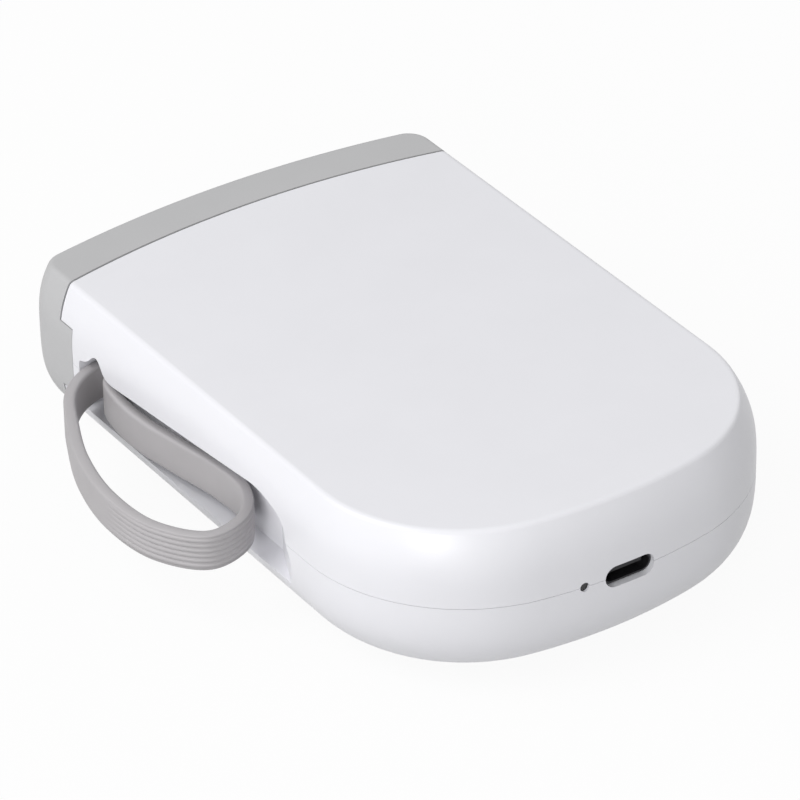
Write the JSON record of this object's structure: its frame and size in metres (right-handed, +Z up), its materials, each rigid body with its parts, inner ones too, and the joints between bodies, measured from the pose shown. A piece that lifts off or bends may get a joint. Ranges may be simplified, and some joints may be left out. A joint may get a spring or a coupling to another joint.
{
  "type": "portable label printer",
  "caption": "Palm-sized thermal label printer with a barrel-sided white casing, a grey hinged end cover, a charging inlet in the rounded near end and a silicone hand strap in a side recess.",
  "frame": {"origin": "On the flat base at Z = 0, at the middle of the casing width and length, straight below the centre of its top", "axes": "+X is the side away from the strap, +Y points from the charging inlet to the hinged end cover, +Z is up"},
  "size_m": [0.0951, 0.118, 0.029],
  "materials": {
    "white_shell": "fine satin",
    "grey_cover": "fine satin",
    "grey_silicone": "matte",
    "black_plastic": "matte",
    "cream_plastic": "matte",
    "clear_plastic": "polished",
    "dark_steel": "dark plated",
    "smoked_lens": "polished",
    "steel": "satin",
    "aluminium": "satin",
    "brass": "satin",
    "board": "solder mask",
    "chip_black": "matte",
    "cell_foil": "matte foil",
    "foam": "matte",
    "red_lead": "gloss",
    "label_paper": "smooth",
    "core_card": "raw",
    "platen_rubber": "matte",
    "head_ceramic": "glazed line",
    "flex_film": "gloss film"
  },
  "bodies": {
    "casing": {"top_shell": "white_shell", "bottom_shell": "white_shell", "cover_hinge_pin": "steel", "catch_spring": "steel", "catch_screw": "steel", "strap_bar": "steel", "usb_port_shell": "dark_steel", "usb_port_tongue": "black_plastic", "status_light_pipe": "smoked_lens", "status_led": "clear_plastic", "power_switch": "black_plastic", "main_board": "board", "board_chips": "chip_black", "battery_pack": "cell_foil", "battery_pad": "foam", "battery_socket": "cream_plastic", "battery_leads": "red_lead", "roll_tray": "cream_plastic", "label_web": "label_paper", "print_frame": "black_plastic", "platen_bush_1": "cream_plastic", "platen_bush_2": "cream_plastic", "idler_post": "steel", "feed_motor": "steel", "motor_screws": "steel", "head_pivot_pin": "steel", "head_springs": "steel", "head_flex": "flex_film", "head_socket": "cream_plastic", "label_sensor": "black_plastic", "case_screws": "steel", "board_screws": "steel", "tray_screws": "steel", "frame_screws": "steel"},
    "cover": {"cover_cap": "grey_cover", "cover_guide": "black_plastic", "tear_blade": "steel"},
    "strap": {"hand_strap": "grey_silicone"},
    "button": {"power_button": "grey_cover", "switch_plunger": "black_plastic"},
    "platen": {"platen_roller": "platen_rubber", "platen_shaft": "steel", "platen_gear": "cream_plastic"},
    "idler": {"idler_gear": "cream_plastic"},
    "rotor": {"motor_shaft": "steel", "motor_pinion": "brass"},
    "roll": {"label_roll": "label_paper", "roll_core": "core_card"},
    "head": {"head_bracket": "steel", "head_plate": "head_ceramic", "heat_sink": "aluminium", "head_connector": "cream_plastic"}
  },
  "joints": [
    {"name": "cover_hinge", "type": "hinge", "parent": "casing", "child": "cover", "pos_m": [0.036, 0.0413, 0.0165], "axis": [0, 0, -1], "range_deg": [0, 85]},
    {"name": "strap_swing", "type": "hinge", "parent": "casing", "child": "strap", "pos_m": [-0.0355, 0.0344, 0.0143], "axis": [0, 0, -1], "range_deg": [0, 12]},
    {"name": "button_press", "type": "slide", "parent": "casing", "child": "button", "axis": [-1, 0, 0], "range_m": [0, 0.0005], "stiffness_N_per_m": 2500, "springref_m": -0.0003},
    {"name": "platen_spin", "type": "hinge", "parent": "casing", "child": "platen", "pos_m": [-0.0175, 0.04, 0.014], "axis": [0, 0, 1], "continuous": true},
    {"name": "idler_spin", "type": "hinge", "parent": "casing", "child": "idler", "pos_m": [-0.01778, 0.029, 0.024], "axis": [0, 0, 1], "continuous": true},
    {"name": "rotor_spin", "type": "hinge", "parent": "casing", "child": "rotor", "pos_m": [-0.0212, 0.0175, 0.024], "axis": [0, 0, 1], "continuous": true},
    {"name": "roll_spin", "type": "hinge", "parent": "casing", "child": "roll", "pos_m": [0.0062, 0.022, 0.014], "axis": [0, 0, 1], "continuous": true},
    {"name": "head_lift", "type": "hinge", "parent": "casing", "child": "head", "pos_m": [-0.0272, 0.031, 0.014], "axis": [0, 0, 1], "range_deg": [0, 2], "stiffness_Nm_per_rad": 0.05, "springref_deg": -11.46, "deforming": ["head_springs"]}
  ],
  "couplings": [
    {"joint": "platen_spin", "follows": "roll_spin", "ratio": 4.5},
    {"joint": "idler_spin", "follows": "roll_spin", "ratio": -9.6429},
    {"joint": "rotor_spin", "follows": "roll_spin", "ratio": 28.929}
  ]
}
